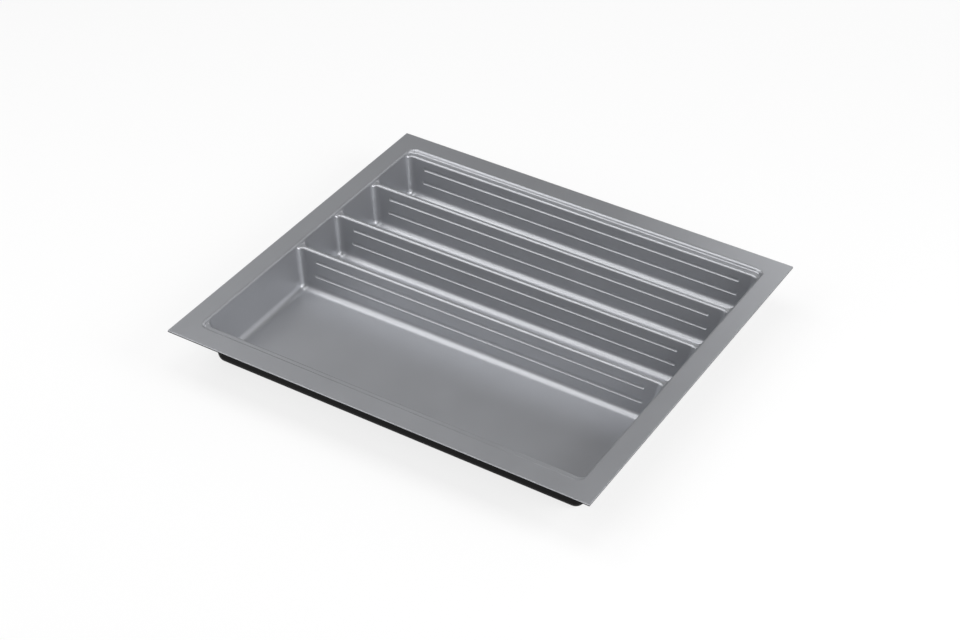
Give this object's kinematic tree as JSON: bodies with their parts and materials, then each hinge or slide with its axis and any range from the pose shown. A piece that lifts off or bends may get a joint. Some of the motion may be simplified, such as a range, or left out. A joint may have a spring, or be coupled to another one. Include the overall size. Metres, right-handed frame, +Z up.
{
  "type": "cutlery tray",
  "caption": "Formed-sheet drawer insert for cutlery: flat flange, stepped rim, a wide front compartment, narrow ones behind it, hollow ridges between them and grooved walls.",
  "frame": {"origin": "under the middle of the tray, level with the underside of the compartment floors", "axes": "+X along the ridges, the tray's longer side; +Y from the wide front compartment to the narrow rear ones; +Z up"},
  "size_m": [0.54, 0.49, 0.0578],
  "materials": {
    "silver_plastic": "satin metallic silver-grey, slightly grained",
    "black_plastic": "satin black"
  },
  "bodies": {
    "root": {"silver_top_layer": "silver_plastic", "black_backing_layer": "black_plastic"}
  },
  "joints": []
}
